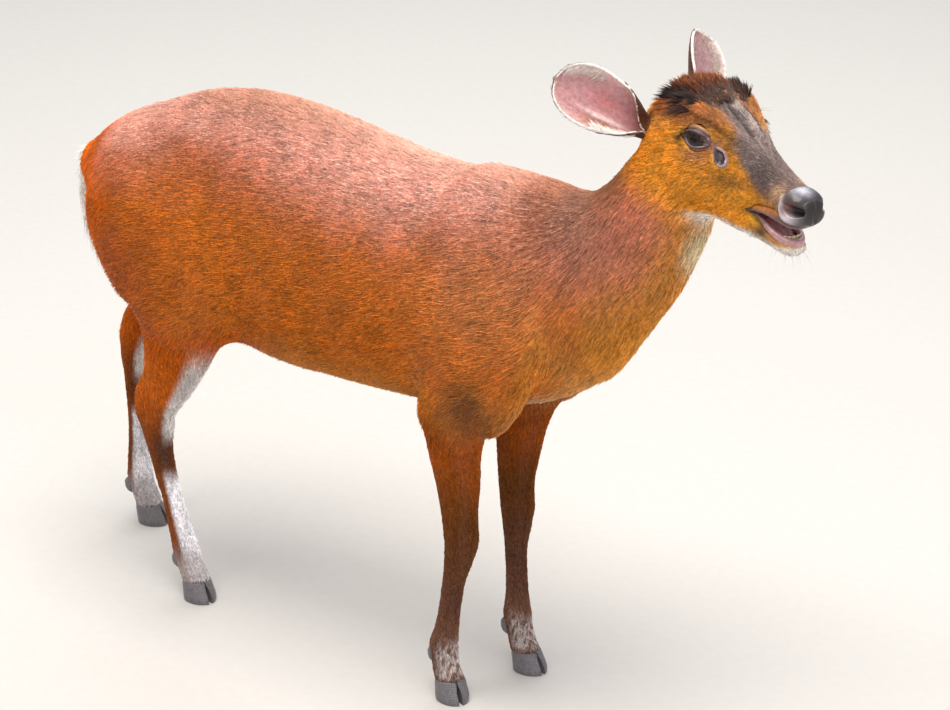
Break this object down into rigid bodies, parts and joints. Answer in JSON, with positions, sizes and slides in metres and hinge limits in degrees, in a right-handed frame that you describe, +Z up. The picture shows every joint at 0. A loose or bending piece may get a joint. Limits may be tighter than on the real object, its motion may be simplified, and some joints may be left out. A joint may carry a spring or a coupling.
{
  "type": "muntjac",
  "caption": "Standing female muntjac, life size, with a short orange-brown coat, a dark crest, cupped ears, a white-fringed tail and a slightly open mouth.",
  "frame": {"origin": "on the floor under the middle of the whole animal's box", "axes": "+X towards the nose, along the body; +Y to the animal's left; +Z up"},
  "size_m": [0.8933, 0.1983, 0.6608],
  "materials": {
    "coat": "short orange-brown fur, matt with a soft sheen along the hairs",
    "dark_coat": "short brown fur of the lower legs, matt",
    "white_hair": "long white hair of the tail, matt",
    "ear_skin": "thin pink-grey ear skin with sparse white hair",
    "nose": "moist dark grey-brown bare skin, glossy",
    "tongue": "moist pink skin",
    "enamel": "yellowish tooth enamel, glossy",
    "eye": "dark brown moist eye, mirror glossy",
    "horn": "dark grey horn, half gloss"
  },
  "bodies": {
    "root": {"torso": "coat", "neck": "coat", "head": "coat", "jaw": "coat", "nose_pad": "nose", "tongue": "tongue", "teeth": "enamel", "eye_right": "eye", "ear_right": "ear_skin", "eye_left": "eye", "ear_left": "ear_skin", "tail": "white_hair", "leg_fore_right_upper": "coat", "leg_fore_right_lower": "dark_coat", "hoof_fore_right_left": "horn", "dewclaw_fore_right_left": "horn", "hoof_fore_right_right": "horn", "dewclaw_fore_right_right": "horn", "leg_fore_left_upper": "coat", "leg_fore_left_lower": "dark_coat", "hoof_fore_left_left": "horn", "dewclaw_fore_left_left": "horn", "hoof_fore_left_right": "horn", "dewclaw_fore_left_right": "horn", "leg_hind_right_upper": "coat", "leg_hind_right_lower": "dark_coat", "hoof_hind_right_left": "horn", "dewclaw_hind_right_left": "horn", "hoof_hind_right_right": "horn", "dewclaw_hind_right_right": "horn", "leg_hind_left_upper": "coat", "leg_hind_left_lower": "dark_coat", "hoof_hind_left_left": "horn", "dewclaw_hind_left_left": "horn", "hoof_hind_left_right": "horn", "dewclaw_hind_left_right": "horn"}
  },
  "joints": []
}
